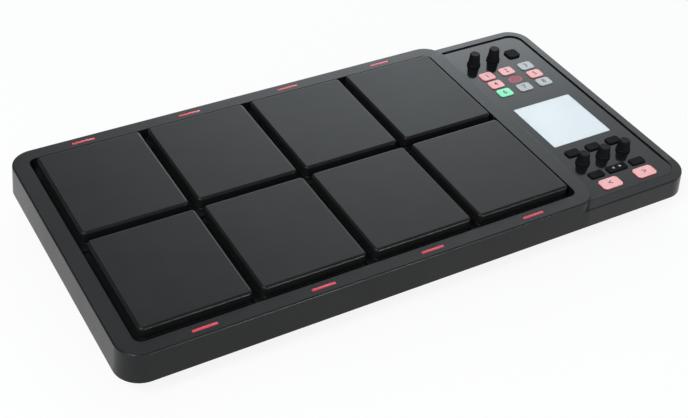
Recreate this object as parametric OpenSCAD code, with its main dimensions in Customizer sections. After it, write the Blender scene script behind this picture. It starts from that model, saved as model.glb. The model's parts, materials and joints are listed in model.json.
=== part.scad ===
// Electronic percussion pad: eight rubber pads in a raised frame, with a lower control panel on its right.
// Millimetres. The origin is under the middle of the body, on the surface that the feet stand on.
// +X points to the player's right, +Y away from the player, +Z up.

/* [Playing pads] */
// Width of one rubber pad
pad_w = 92; // [88:0.5:95]
// Depth of one rubber pad
pad_d = 109; // [104:0.5:112]
// Thickness of the rubber
pad_t = 9; // [7:0.5:10]
// Height of the pads above the frame
pad_proud = 5.6; // [4:0.2:7]
// Plan radius of a pad's corners
pad_corner_r = 4; // [3:0.5:6]
// Round along a pad's top edge
pad_edge_r = 2.4; // [1:0.2:2.8]
// Gap between neighbouring pads, left to right
pad_gap_x = 7.25; // [6.5:0.25:9]
// Gap between the two rows of pads
pad_gap_y = 7.9; // [6.5:0.1:9]
// Distance that a struck pad gives way
pad_travel = 1; // [0.5:0.1:1.2]
// Thickness of the foam under a pad that is struck home
cushion_core = 2; // [1.5:0.25:3]
// Thickness of the steel plate under the foam
plate_t = 1.6; // [1.2:0.1:2]
// Margin of the plate inside the pad's outline
plate_margin = 2; // [1.5:0.25:4]

/* [Frame] */
// Gap between the outer pads and the frame, at the sides
edge_gap_x = 5.6; // [4.5:0.1:8]
// Gap between the outer pads and the frame, front and back
edge_gap_y = 6.5; // [4.5:0.1:8]
// Width of the frame's border, at the sides
border_x = 14.5; // [13.5:0.25:18]
// Width of the frame's border, front and back
border_y = 13.05; // [13:0.05:16]
// Plan radius of the well's corners
well_corner_r = 7; // [5:0.5:9]
// Round along the frame's top edge
frame_edge_r = 1.3; // [0.8:0.1:2]
// Thickness of the skirt round the well
skirt_t = 2.5; // [2:0.1:2.8]

/* [Case] */
// Width of the control section beside the frame
panel_zone_w = 103.2; // [100:0.2:110]
// Plan radius of the outer corners
corner_r = 20; // [18:0.5:22]
// Height of the outer wall
wall_h = 29; // [29:0.5:34]
// Lean of the outer wall, from its top edge to its foot
wall_lean = 2.2; // [1:0.1:3]
// Height of the bevel under the wall's foot
foot_bevel = 2.3; // [1.5:0.1:3]
// Wall thickness of the case mouldings
wall = 3; // [2.6:0.1:3.2]
// Height of the feet
foot_h = 6; // [4:0.5:9]
// Radius of a foot
foot_r = 9; // [7:0.5:11]
// Depth of the lower case below the upright wall
tray_depth = 11; // [11:0.5:14]
// Inset of the lower case's sloping side at its floor
tray_slope = 12; // [10:0.5:13]
// Thickness of the lower case's floor
floor_t = 2.5; // [2:0.1:3]

/* [Control panel] */
// Drop from the frame's top to the rim round the panel
deck_drop = 7; // [6:0.2:8]
// Drop from the rim to the panel
panel_drop = 1.4; // [1:0.1:2]
// Thickness of the panel plate
panel_t = 2.5; // [2:0.1:3]
// Width of the rim behind the panel
rim_back = 7.4; // [6:0.2:9]
// Width of the rim at the panel's right
rim_right = 7.2; // [6:0.2:9]
// Width of the case's strip in front of the panel
front_strip = 8.5; // [7:0.5:10]
// Round along the rim's top edge
rim_edge_r = 1.6; // [1:0.1:2]
// Distance between the columns of keys
column_pitch = 23; // [22:0.1:24]
// Distance between the rows of mode keys
row_pitch = 15; // [14.5:0.1:16]
// Place of the back row of mode keys, from the middle of the body
mode_row_y = 72.3; // [71:0.1:74]
// Place of the level knobs and the power key
level_row_y = 95.6; // [94:0.1:98]
// Place of the row of function keys
function_row_y = -63; // [-64:0.1:-62]
// Place of the setting knobs
setting_row_y = -77.6; // [-78:0.1:-77]
// Place of the row of menu keys
menu_row_y = -97; // [-98:0.1:-95]
// Place of the kit keys
kit_row_y = -112.2; // [-113:0.1:-111]
// Distance from the panel's middle line to a kit key
kit_offset = 19.2; // [18:0.1:21]
// Travel of a key
key_travel = 0.8; // [0.4:0.1:1]

/* [Display] */
// Side of the square window
window_w = 64.6; // [60:0.2:66]
// Place of the window's middle, from the middle of the body
window_y = -16.5; // [-18:0.5:-15]
// Thickness of the window
window_t = 1.2; // [1:0.1:1.5]

/* [Knobs] */
// Radius of a knob's skirt
knob_skirt_r = 6.6; // [6:0.1:7.5]
// Radius of a knob's grip above the skirt
knob_grip_r = 5.9; // [5.4:0.1:6.5]
// Radius of a knob at its top
knob_top_r = 4.9; // [4.4:0.1:5.4]
// Height of a level knob
level_knob_h = 12.6; // [10:0.2:15]
// Height of a setting knob
setting_knob_h = 10.4; // [9:0.2:13]
// Radius of a control's shaft
shaft_r = 3; // [2.5:0.1:3.2]

/* [Lamps] */
// Length of a lamp bar
lamp_l = 20.8; // [18:0.2:24]
// Width of a lamp bar
lamp_w = 2.8; // [2:0.1:3.2]

/* [Sockets and mounts] */
// Distance between neighbouring jack sockets
jack_pitch = 21; // [18:0.5:22]
// Radius of a jack socket's bore
jack_bore_r = 3.3; // [3.25:0.05:3.5]
// Spacing of the stand inserts, left to right
mount_pitch_x = 100; // [80:1:120]
// Spacing of the stand inserts, front to back
mount_pitch_y = 72; // [60:1:80]
// Radius of a stand insert's hole
mount_hole_r = 2.5; // [2:0.1:3]

/* [Hidden] */
$fn = 48;
eps = 0.01;

// Fits: a key beside its hole, a key's flange under the panel, a loose gap, a shaft in its bush
key_gap = 0.5;
flange_gap = 0.2;
gap = 0.3;
bush_gap = 0.05;
// How far a cut runs on past the face that it opens
cut = 1;

columns = 4;
rows = 2;
pad_count = columns * rows;
pitch_x = pad_w + pad_gap_x;
pitch_y = pad_d + pad_gap_y;
well_w = columns * pad_w + (columns - 1) * pad_gap_x + 2 * edge_gap_x;
well_d = rows * pad_d + (rows - 1) * pad_gap_y + 2 * edge_gap_y;
frame_w = well_w + 2 * border_x;
body_w = frame_w + panel_zone_w;
body_d = well_d + 2 * border_y;

// Levels, from the feet up
part_z = foot_h + tray_depth;
frame_top = part_z + wall_h;
rim_z = frame_top - deck_drop;
panel_z = rim_z - panel_drop;
panel_under = panel_z - panel_t;
ledge_t = 3;
ledge_under = panel_under - ledge_t;
pad_top = frame_top + pad_proud;
pad_under = pad_top - pad_t;
cushion_t = cushion_core + pad_travel;
cushion_under = pad_under - cushion_t;
plate_under = cushion_under - plate_t;
seat_h = 2;
chassis_floor = plate_under - seat_h;
chassis_t = 2.5;
chassis_under = chassis_floor - chassis_t;
floor_top = foot_h + floor_t;

// Plan places
left_x = -body_w / 2;
frame_right = left_x + frame_w;
pad_cx = left_x + frame_w / 2;
panel_right = body_w / 2 - rim_right;
panel_cx = (frame_right + panel_right) / 2;
panel_front = -body_d / 2 + front_strip;
panel_back = body_d / 2 - rim_back;
panel_corner_r = corner_r - rim_right;
// The rows on the panel are given for this depth of it, and spread with it
panel_made_d = 249.1;
function row_at(y) = y * (panel_back - panel_front) / panel_made_d;
window_cy = row_at(window_y);
under_frame = 2 * corner_r;
seam_x = frame_right - corner_r / 2;
ledge_w = 3;
wall_y = body_d / 2 - wall;
lamp_shift = 0.5;
lamp_y = body_d / 2 - border_y / 2 - lamp_shift;

// Boards and what stands on them
board_t = 1.6;
switch_w = 6;
switch_h = 3.6;
plunger_h = 1.2;
plunger_r = 1.7;
flange_t = 1;
flange_w = 1.2;
flange_top = panel_under - flange_gap;
flange_under = flange_top - flange_t;
panel_board_top = flange_under - key_travel - gap - plunger_h - switch_h;
main_board_lift = 0.8;
main_board_top = part_z + main_board_lift;
main_board_d = 96;
main_board_inset = 3.5;
main_board_back = wall_y - main_board_inset;

// Sockets in the back wall: one row, from the DC inlet to the last jack
jack_count = 10;
dc_to_usb = 19;
usb_to_midi = 22;
midi_pitch = 22;
midi_to_jack = 26;
socket_row = dc_to_usb + usb_to_midi + midi_pitch + midi_to_jack + (jack_count - 1) * jack_pitch;
socket_shift = 35;
socket_cx = pad_cx + socket_shift;
dc_x = socket_cx + socket_row / 2;
usb_x = dc_x - dc_to_usb;
midi_x = [usb_x - usb_to_midi, usb_x - usb_to_midi - midi_pitch];
function jack_x(i) = midi_x[1] - midi_to_jack - i * jack_pitch;
row_end = 12;
window_half = socket_row / 2 + row_end;
board_end = 9;
board_over = 45;
main_board_l = board_end + socket_row + board_over;
main_board_cx = dc_x + board_end - main_board_l / 2;
rear_t = 2.5;
rear_front = wall_y - rear_t;
rear_lap = 4;
rear_top_lap = 0.4;
rear_top = chassis_under - gap;
window_top = rear_top - rear_top_lap;
jack_r = 5.2;
jack_w = 14;
jack_l = 22.5;
socket_sink = 1;
jack_face = body_d / 2 - socket_sink;
socket_z = main_board_top + jack_w / 2 + gap;
midi_r = 6.9;
port_sink = 1.5;
port_face = body_d / 2 - port_sink;
usb_w = 12;
usb_h = 11;
dc_r = 4.4;
dc_lift = 1;
dc_z = main_board_top + dc_r + dc_lift;

// Screws: the chassis to the upper case, the lower case to the chassis and to the deck
chassis_screw_out = 4.1;
chassis_screw_y = well_d / 2 + chassis_screw_out;
chassis_boss_r = 3;
chassis_screw_r = 1.2;
chassis_head_r = 2.4;
chassis_grip = 4.5;
tip_room = 0.5;
chassis_screw_places = [for (c = [-1, 0, 1], s = [-1, 1]) [pad_cx + c * pitch_x, s * chassis_screw_y]];
case_boss_r = 4;
case_screw_r = 1.4;
case_head_r = 2.8;
case_head_h = 2;
case_head_sink = 1.2;
case_seat_z = foot_h + case_head_sink + case_head_h;
case_grip = 10;
case_joint_drop = 3;
case_joint_z = part_z - case_joint_drop;
spacer_inset = [11, 24];
spacer_stud_r = 2;
spacers = [for (s = [-1, 1], t = [-1, 1])
    [pad_cx + s * (well_w / 2 - spacer_inset.x), t * (well_d / 2 - spacer_inset.y)]];
deck_post_inset = [16, 30];
deck_posts = [for (s = [-1, 1]) [body_w / 2 - deck_post_inset.x, s * (body_d / 2 - deck_post_inset.y)]];
case_screw_places = concat(spacers, deck_posts);
foot_inset = [31, 24.5];
foot_x = body_w / 2 - foot_inset.x;
foot_y = body_d / 2 - foot_inset.y;
insert_r = 4;
insert_l = 8;
insert_wall = 2.5;
insert_roof = 1.5;
standoff_r = 3.5;
standoff_inset = [8, 12];
standoffs = [for (c = [-1, 0, 1], t = [-1, 1]) [main_board_cx + c * (main_board_l / 2 - standoff_inset.x),
    main_board_back - main_board_d / 2 + t * (main_board_d / 2 - standoff_inset.y)]];
panel_post_r = 3;
panel_post_inset = 9;
panel_post_rows = [-88, 28, 112];
panel_posts = [for (s = [-1, 1], y = panel_post_rows)
    [panel_cx + s * ((panel_right - frame_right) / 2 - panel_post_inset), row_at(y)]];

// Keys: name, place, width, depth, height above the panel, corner chamfer, colour
pink = [1, 0.62, 0.62];
mint = [0.42, 0.95, 0.68];
pale = [0.76, 0.8, 0.8];
black = [0.06, 0.06, 0.065];
mode_cells = [[-1, 0, pink], [0, 0, pink], [1, 0, pale], [-1, 1, pink], [1, 1, pink],
    [-1, 2, mint], [0, 2, pale], [1, 2, pale]];
function column_x(c) = panel_cx + c * column_pitch;
mode_keys = [for (i = [0 : len(mode_cells) - 1])
    [str("mode_button_", i + 1), column_x(mode_cells[i][0]),
    row_at(mode_row_y) - mode_cells[i][1] * row_pitch, 15, 12, 1.1, 2.6, mode_cells[i][2]]];
function_keys = [for (c = [-1, 0, 1])
    [str("function_button_", c + 2), column_x(c), row_at(function_row_y), 14, 9, 1.6, 2.2, black]];
menu_keys = [
    ["menu_button", column_x(-1), row_at(menu_row_y), 15, 8.5, 1.3, 2, black],
    ["page_button", column_x(0), row_at(menu_row_y), 21, 8.5, 1.3, 2, black],
    ["exit_button", column_x(1), row_at(menu_row_y), 15, 8.5, 1.3, 2, black]];
kit_keys = [
    ["kit_button_down", panel_cx - kit_offset, row_at(kit_row_y), 21, 13, 1.1, 3, pink],
    ["kit_button_up", panel_cx + kit_offset, row_at(kit_row_y), 21, 13, 1.1, 3, pink]];
power_key = ["power_button", column_x(1), row_at(level_row_y), 13.5, 13, 1.8, 3, black];
keys = concat(mode_keys, function_keys, menu_keys, kit_keys, [power_key]);

// Knobs: name of the knob, name of its shaft, place, height
level_knobs = [for (i = [1, 2])
    [str("level_knob_", i), str("level_shaft_", i), column_x(i - 2), row_at(level_row_y),
    level_knob_h]];
setting_knobs = [for (i = [1, 2, 3])
    [str("setting_knob_", i), str("setting_shaft_", i), column_x(i - 2), row_at(setting_row_y),
    setting_knob_h]];
knobs = concat(level_knobs, setting_knobs);
knob_clear = 0.4;
knob_under = panel_z + knob_clear;
knob_roof_t = 2.4;
bush_t = 0.6;
bush_r = shaft_r + bush_t;
bush_top = panel_z - bush_t;
shaft_lift = 1;
shaft_foot = panel_board_top + shaft_lift;
flat_depth = 0.8;
window_gap = 0.1;
window_lap = 1.2;
window_corner_r = 1.4;

pad_names = [for (i = [1 : pad_count]) str("pad_", i)];
key_names = [for (k = keys) k[0]];
knob_names = [for (k = knobs) k[0]];
shaft_names = [for (k = knobs) k[1]];

case_black = [0.13, 0.13, 0.135];
panel_black = [0.1, 0.1, 0.105];
rubber_black = [0.16, 0.16, 0.165];
steel = [0.7, 0.71, 0.72];
board_green = [0.05, 0.3, 0.14];
socket_black = [0.05, 0.05, 0.05];

function pad_place(i) = [
    pad_cx + (i % columns - (columns - 1) / 2) * pitch_x,
    ((rows - 1) / 2 - floor(i / columns)) * pitch_y];

// A rectangle with round corners
module rounded_rect(w, d, r) {
    square([w - 2 * r, d], center = true);
    square([w, d - 2 * r], center = true);
    for (x = [-1, 1], y = [-1, 1])
        translate([x * (w / 2 - r), y * (d / 2 - r)])
            circle(r = r);
}

// A slab with round corners, whose edge all round follows the profile given as its child:
// x is the distance out from the corner's centre, y the height
module edged_slab(w, d, r, low, high) {
    translate([0, 0, low])
        linear_extrude(high - low)
            square([w - 2 * r, d - 2 * r], center = true);
    for (turn = [0, 180]) {
        rotate(turn)
            translate([0, d / 2 - r, 0])
                rotate([90, 0, 90])
                    linear_extrude(w - 2 * r, center = true)
                        children();
        rotate(turn + 90)
            translate([0, w / 2 - r, 0])
                rotate([90, 0, 90])
                    linear_extrude(d - 2 * r, center = true)
                        children();
    }
    for (corner = [[1, 1, 0], [-1, 1, 90], [-1, -1, 180], [1, -1, 270]])
        translate([corner.x * (w / 2 - r), corner.y * (d / 2 - r), 0])
            rotate(corner.z)
                rotate_extrude(angle = 90)
                    children();
}

// The profile of an upright edge with a round at its top
module round_top_profile(r, low, high, edge) {
    translate([0, low])
        square([r, high - low - edge]);
    translate([0, low])
        square([r - edge, high - low]);
    translate([r - edge, high - edge])
        intersection() {
            circle(r = edge);
            square(edge);
        }
}

// A rectangle with its corners cut off
module key_outline(w, d, nip, grow) {
    a = w / 2 + grow;
    b = d / 2 + grow;
    polygon([[a, b - nip], [a - nip, b], [nip - a, b], [-a, b - nip],
        [-a, nip - b], [nip - a, -b], [a - nip, -b], [a, nip - b]]);
}

module frame_outline(grow) {
    translate([pad_cx, 0])
        rounded_rect(frame_w + 2 * grow, body_d + 2 * grow, corner_r + grow);
}

// The control panel's outline. It runs on under the frame, which then cuts it.
module panel_outline(inset) {
    l = panel_right - frame_right + under_frame - 2 * inset;
    d = panel_back - panel_front - 2 * inset;
    translate([(panel_right + frame_right - under_frame) / 2, (panel_front + panel_back) / 2])
        rounded_rect(l, d, panel_corner_r - inset);
}

// The ears on the ledge that carry the deck's screw posts
module deck_ears(grow) {
    for (p = deck_posts) {
        translate(p)
            circle(r = case_boss_r + grow);
        translate([p.x, p.y - case_boss_r - grow])
            square([panel_right - p.x, 2 * (case_boss_r + grow)]);
    }
}

// The outer wall: rounded over at the top, leaning out to its foot, with a bevel under that
function lean_at(z) = wall_lean * (frame_top - z) / (wall_h - foot_bevel);
module wall_profile(r, high, edge) {
    out = r + lean_at(high - edge);
    polygon([[0, part_z], [r, part_z], [r + wall_lean, part_z + foot_bevel], [out, high - edge],
        [0, high - edge]]);
    round_top_profile(out, part_z + foot_bevel, high, edge);
}

// The lower deck: its rim falls to the panel's level towards the front edge
module deck() {
    deck_l = panel_zone_w + under_frame;
    fade_y = panel_front + 24;
    front_fall = 0.6;
    edge_bevel = 1;
    edge_z = panel_z - front_fall - edge_bevel;
    front_y = -body_d / 2 - lean_at(edge_z);
    difference() {
        translate([body_w / 2 - deck_l / 2, 0, 0])
            edged_slab(deck_l, body_d, corner_r, part_z, rim_z)
                wall_profile(corner_r, rim_z, rim_edge_r);
        translate([0, 0, panel_under])
            linear_extrude(rim_z)
                panel_outline(0);
        translate([body_w / 2, 0, 0])
            rotate([90, 0, 90])
                linear_extrude(4 * deck_l, center = true)
                    polygon([[fade_y, rim_z], [panel_front, panel_z],
                        [front_y + edge_bevel, panel_z - front_fall], [front_y - eps, edge_z],
                        [front_y - wall, edge_z], [front_y - wall, rim_z + wall], [fade_y, rim_z + wall]]);
    }
}

module pad_frame() {
    translate([pad_cx, 0, 0])
        edged_slab(frame_w, body_d, corner_r, part_z, frame_top)
            wall_profile(corner_r, frame_top, frame_edge_r);
}

// The hollow under the deck, the screw holes of its posts and the opening that the panel covers
module deck_hollows() {
    difference() {
        translate([body_w / 2 - wall - panel_zone_w / 2 - under_frame / 2, 0, part_z - cut])
            linear_extrude(ledge_under - part_z + cut)
                rounded_rect(panel_zone_w + under_frame, body_d - 2 * wall, corner_r - wall);
        for (p = deck_posts)
            translate([p.x, p.y, case_joint_z])
                cylinder(r = case_boss_r, h = wall_h);
    }
    for (p = deck_posts)
        translate([p.x, p.y, case_joint_z - cut])
            cylinder(r = case_screw_r + bush_gap, h = cut + case_grip + tip_room);
    translate([0, 0, ledge_under - cut])
        linear_extrude(ledge_t + 2 * cut)
            difference() {
                panel_outline(ledge_w);
                frame_outline(ledge_w);
                deck_ears(0);
            }
}

// The frame above the deck's ledge, which is no part of the deck; beside the panel it stands upright
module frame_block() {
    translate([0, 0, ledge_under])
        linear_extrude(frame_top)
            frame_outline(0);
}

module upper_case() {
    color(case_black)
        difference() {
            union() {
                deck();
                pad_frame();
            }
            // the place of the control deck, right of the seam and beside the frame
            difference() {
                translate([seam_x, -body_d, 0])
                    cube([body_w, 2 * body_d, frame_top]);
                frame_block();
            }
            deck_hollows();
            // the hollow under the frame, with the skirt round the well and the screw bosses left standing
            difference() {
                translate([pad_cx, 0, part_z - cut])
                    linear_extrude(frame_top - wall - part_z + cut)
                        rounded_rect(frame_w - 2 * wall, body_d - 2 * wall, corner_r - wall);
                translate([pad_cx, 0, chassis_floor])
                    linear_extrude(wall_h)
                        rounded_rect(well_w + 2 * skirt_t, well_d + 2 * skirt_t, well_corner_r + skirt_t);
                for (p = chassis_screw_places)
                    translate([p.x, p.y, chassis_floor])
                        cylinder(r = chassis_boss_r, h = wall_h);
            }
            translate([pad_cx, 0, part_z])
                linear_extrude(2 * wall_h)
                    rounded_rect(well_w, well_d, well_corner_r);
            for (p = chassis_screw_places)
                translate([p.x, p.y, chassis_floor - cut])
                    cylinder(r = chassis_screw_r + bush_gap, h = cut + chassis_grip + tip_room);
            // the lamp slots
            for (i = [0 : pad_count - 1])
                translate([pad_place(i).x, sign(pad_place(i).y) * lamp_y, frame_top - 2 * wall])
                    linear_extrude(3 * wall)
                        rounded_rect(lamp_l + gap, lamp_w + gap, lamp_w / 4);
            // the socket window in the back wall
            translate([socket_cx - window_half, wall_y - cut, part_z - cut])
                cube([2 * window_half, wall + wall_lean + 2 * cut, window_top - part_z + cut]);
        }
}

module control_deck() {
    color(case_black)
        difference() {
            deck();
            deck_hollows();
            translate([seam_x - body_w, -body_d, 0])
                cube([body_w, 2 * body_d, frame_top]);
            frame_block();
        }
}

// The lower case's sloping edge
module slope_profile(r, low, high) {
    run = tray_slope * (high - low) / tray_depth;
    polygon([[0, low], [r - run, low], [r, high], [0, high]]);
}

module lower_case() {
    lip_h = 3;
    lip_t = 2;
    lip_inset = 2 * (wall + gap);
    inner_w = body_w - 2 * wall;
    inner_d = body_d - 2 * wall;
    color(case_black)
        difference() {
            union() {
                difference() {
                    edged_slab(body_w, body_d, corner_r, foot_h, part_z)
                        slope_profile(corner_r, foot_h, part_z);
                    edged_slab(inner_w, inner_d, corner_r - wall, floor_top, part_z + eps)
                        slope_profile(corner_r - wall, floor_top, part_z + eps);
                }
                // the lip inside the upper case's wall
                translate([0, 0, part_z - lip_h])
                    linear_extrude(2 * lip_h)
                        difference() {
                            rounded_rect(body_w - lip_inset, body_d - lip_inset, corner_r - lip_inset / 2);
                            rounded_rect(body_w - lip_inset - 2 * lip_t, body_d - lip_inset - 2 * lip_t,
                                corner_r - lip_inset / 2 - lip_t);
                        }
                for (p = case_screw_places)
                    translate([p.x, p.y, foot_h])
                        cylinder(r = case_boss_r, h = case_joint_z - foot_h);
                for (p = standoffs)
                    translate([p.x, p.y, foot_h])
                        cylinder(r = standoff_r, h = main_board_top - board_t - foot_h);
                for (x = [-1, 1], y = [-1, 1])
                    translate([x * mount_pitch_x / 2, y * mount_pitch_y / 2, foot_h])
                        cylinder(r = insert_r + insert_wall, h = insert_l + insert_roof);
            }
            // room for the socket plate
            translate([socket_cx - window_half - rear_lap - gap, rear_front - gap, part_z])
                cube([2 * (window_half + rear_lap + gap), wall + 2 * rear_t, 2 * lip_h]);
            for (p = case_screw_places)
                translate([p.x, p.y, foot_h - cut]) {
                    cylinder(r = case_screw_r + gap, h = tray_depth);
                    cylinder(r = case_head_r + gap, h = case_seat_z - foot_h + cut);
                }
            for (x = [-1, 1], y = [-1, 1])
                translate([x * mount_pitch_x / 2, y * mount_pitch_y / 2, foot_h - cut])
                    cylinder(r = insert_r + bush_gap, h = insert_l + cut);
        }
}

module control_panel() {
    sight_w = window_w - 2 * window_lap;
    pocket_w = window_w + 2 * window_gap;
    color(panel_black)
        difference() {
            union() {
                translate([0, 0, panel_under])
                    linear_extrude(panel_t)
                        difference() {
                            panel_outline(gap);
                            frame_outline(gap);
                        }
                for (p = panel_posts)
                    translate([p.x, p.y, panel_board_top])
                        cylinder(r = panel_post_r, h = panel_under - panel_board_top + eps);
            }
            for (k = keys)
                translate([k[1], k[2], panel_under - cut])
                    linear_extrude(panel_t + 2 * cut)
                        key_outline(k[3], k[4], k[6], key_gap);
            for (k = knobs)
                translate([k[2], k[3], panel_under - cut])
                    cylinder(r = bush_r + gap, h = panel_t + 2 * cut);
            translate([panel_cx, window_cy, panel_under - cut])
                linear_extrude(panel_t + 2 * cut)
                    rounded_rect(sight_w, sight_w, window_corner_r);
            translate([panel_cx, window_cy, panel_z - window_t])
                linear_extrude(panel_t)
                    rounded_rect(pocket_w, pocket_w, window_corner_r + window_gap);
        }
}

module rear_panel() {
    color(panel_black)
        difference() {
            translate([socket_cx - window_half - rear_lap, rear_front, part_z + gap])
                cube([2 * (window_half + rear_lap), rear_t, rear_top - part_z - gap]);
            for (i = [0 : jack_count - 1])
                translate([jack_x(i), wall_y + cut, socket_z])
                    rotate([90, 0, 0])
                        cylinder(r = jack_r + gap, h = rear_t + 2 * cut);
            for (x = midi_x)
                translate([x, wall_y + cut, socket_z])
                    rotate([90, 0, 0])
                        cylinder(r = midi_r + gap, h = rear_t + 2 * cut);
            translate([usb_x - usb_w / 2 - gap, rear_front - cut, main_board_top - gap])
                cube([usb_w + 2 * gap, rear_t + 2 * cut, usb_h + 2 * gap]);
            translate([dc_x, wall_y + cut, dc_z])
                rotate([90, 0, 0])
                    cylinder(r = dc_r + gap, h = rear_t + 2 * cut);
        }
}

// The stiff tray under the pads, with webs between them
module pad_chassis() {
    rib_t = 3;
    edge_margin = 0.6;
    tray_w = well_w + 2 * (skirt_t + edge_margin);
    tray_d = 2 * (chassis_screw_y + chassis_head_r);
    seat_r = 4;
    color(case_black)
        difference() {
            union() {
                translate([pad_cx, 0, chassis_under])
                    linear_extrude(chassis_t)
                        rounded_rect(tray_w, tray_d, well_corner_r);
                translate([pad_cx - well_w / 2 + gap, -rib_t / 2, chassis_floor])
                    cube([well_w - 2 * gap, rib_t, seat_h]);
                for (c = [-1, 0, 1])
                    translate([pad_cx + c * pitch_x - rib_t / 2, gap - well_d / 2, chassis_floor])
                        cube([rib_t, well_d - 2 * gap, seat_h]);
                for (i = [0 : pad_count - 1], x = [-1, 1], y = [-1, 1])
                    translate([pad_place(i).x + x * pad_w / 3, pad_place(i).y + y * pad_d / 3, chassis_under])
                        cylinder(r = seat_r, h = chassis_t + seat_h);
            }
            for (p = spacers)
                translate([p.x, p.y, chassis_under - cut])
                    cylinder(r = spacer_stud_r + bush_gap, h = chassis_t + 2 * cut);
            for (p = chassis_screw_places)
                translate([p.x, p.y, chassis_under - cut])
                    cylinder(r = chassis_screw_r + gap, h = chassis_t + 2 * cut);
        }
}

module pad_plates() {
    color(steel)
        for (i = [0 : pad_count - 1])
            translate([pad_place(i).x, pad_place(i).y, plate_under])
                linear_extrude(plate_t)
                    rounded_rect(pad_w - 2 * plate_margin, pad_d - 2 * plate_margin, pad_corner_r);
}

module pad_cushions() {
    margin = plate_margin + 1;
    color([0.25, 0.25, 0.26])
        for (i = [0 : pad_count - 1])
            translate([pad_place(i).x, pad_place(i).y, cushion_under])
                linear_extrude(cushion_t)
                    rounded_rect(pad_w - 2 * margin, pad_d - 2 * margin, pad_corner_r);
}

module trigger_sensors() {
    disc_t = 0.4;
    disc_r = 13.5;
    element_r = 10;
    color([0.8, 0.62, 0.25])
        for (i = [0 : pad_count - 1])
            translate([pad_place(i).x, pad_place(i).y, plate_under]) {
                translate([0, 0, -disc_t])
                    cylinder(r = disc_r, h = disc_t);
                translate([0, 0, -2 * disc_t])
                    cylinder(r = element_r, h = disc_t + eps);
            }
}

module pad(i) {
    color(rubber_black)
        translate([pad_place(i).x, pad_place(i).y, 0])
            edged_slab(pad_w, pad_d, pad_corner_r, pad_under, pad_top)
                round_top_profile(pad_corner_r, pad_under, pad_top, pad_edge_r);
}

module lamp_lenses() {
    lens_flange = [1.5, 1.2, 1];
    color([0.85, 0.16, 0.22])
        for (i = [0 : pad_count - 1])
            translate([pad_place(i).x, sign(pad_place(i).y) * lamp_y, frame_top - wall - lens_flange.z]) {
                linear_extrude(lens_flange.z)
                    square([lamp_l + 2 * lens_flange.x, lamp_w + 2 * lens_flange.y], center = true);
                linear_extrude(lens_flange.z + wall)
                    rounded_rect(lamp_l, lamp_w, lamp_w / 4);
            }
}

module lamp_boards() {
    margin = [3, 1.3];
    lamp = [3.2, 2.6, 1.9];
    lamp_count = 3;
    color(board_green)
        for (i = [0 : pad_count - 1])
            translate([pad_place(i).x, sign(pad_place(i).y) * lamp_y, chassis_floor]) {
                linear_extrude(board_t)
                    square([lamp_l + 2 * margin.x, lamp_w + 2 * margin.y], center = true);
                for (c = [0 : lamp_count - 1])
                    translate([(c - (lamp_count - 1) / 2) * lamp_l / lamp_count, 0, 0])
                        linear_extrude(board_t + lamp.z)
                            square([lamp.x, lamp.y], center = true);
            }
}

module lcd_window() {
    color([0.85, 0.92, 0.97, 0.4])
        translate([panel_cx, window_cy, panel_z - window_t])
            linear_extrude(window_t)
                rounded_rect(window_w, window_w, window_corner_r);
}

module lcd_module() {
    lcd_h = panel_under - gap - panel_board_top;
    lcd_margin = 2.5;
    lcd_w = window_w + 2 * lcd_margin;
    glass_drop = 0.5;
    color([0.86, 0.9, 0.93])
        translate([panel_cx, window_cy, panel_board_top])
            difference() {
                linear_extrude(lcd_h)
                    square(lcd_w, center = true);
                translate([0, 0, lcd_h - glass_drop])
                    linear_extrude(cut)
                        square(window_w - window_lap, center = true);
            }
}

module panel_board() {
    inset = [5, 6];
    l = panel_right - frame_right - 2 * inset.x;
    ear_gap = 1;
    color(board_green)
        translate([panel_cx, (panel_front + panel_back) / 2, panel_board_top - board_t])
            linear_extrude(board_t)
                difference() {
                    square([l, panel_back - panel_front - 2 * inset.y], center = true);
                    translate([-panel_cx, -(panel_front + panel_back) / 2])
                        deck_ears(ear_gap);
                }
}

module main_board() {
    chip = [20, 20, 2.4];
    chip_pitch = 38;
    chip_inset = 24;
    front_y = main_board_back - main_board_d;
    color(board_green) {
        translate([main_board_cx - main_board_l / 2, front_y, main_board_top - board_t])
            cube([main_board_l, main_board_d, board_t]);
        for (c = [-3 : 2])
            translate([main_board_cx + c * chip_pitch, front_y + chip_inset, main_board_top - eps])
                cube(chip);
    }
}

// The flat cable between the two boards, with a plug at each end
module panel_ribbon() {
    ribbon_w = 36;
    ribbon_t = 1;
    plug_w = 8;
    plug_h = 4;
    near_x = main_board_cx + main_board_l / 2 - 2 * plug_w;
    far_x = frame_right + 2 * plug_w;
    run_z = panel_board_top - board_t - plug_h;
    color([0.6, 0.62, 0.64])
        translate([0, main_board_back - main_board_d + ribbon_w, 0])
            rotate([90, 0, 0])
                linear_extrude(ribbon_w, center = true) {
                    translate([near_x - plug_w / 2, main_board_top])
                        square([plug_w, plug_h]);
                    translate([near_x - ribbon_t / 2, main_board_top])
                        square([ribbon_t, run_z - main_board_top]);
                    translate([near_x - ribbon_t / 2, run_z - ribbon_t])
                        square([far_x - near_x + ribbon_t, ribbon_t]);
                    translate([far_x - plug_w / 2, run_z - eps])
                        square([plug_w, plug_h + eps]);
                }
}

module key_switches() {
    color([0.2, 0.2, 0.2])
        for (k = keys)
            translate([k[1], k[2], panel_board_top]) {
                linear_extrude(switch_h)
                    square(switch_w, center = true);
                cylinder(r = plunger_r, h = switch_h + plunger_h);
            }
}

module rotary_controls() {
    body_h = 5;
    control_w = 11;
    color([0.35, 0.36, 0.38])
        for (k = knobs)
            translate([k[2], k[3], panel_board_top])
                difference() {
                    union() {
                        linear_extrude(body_h)
                            square(control_w, center = true);
                        cylinder(r = bush_r, h = bush_top - panel_board_top);
                    }
                    translate([0, 0, shaft_foot - panel_board_top - bush_gap])
                        cylinder(r = shaft_r + bush_gap, h = bush_top);
                }
}

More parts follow.
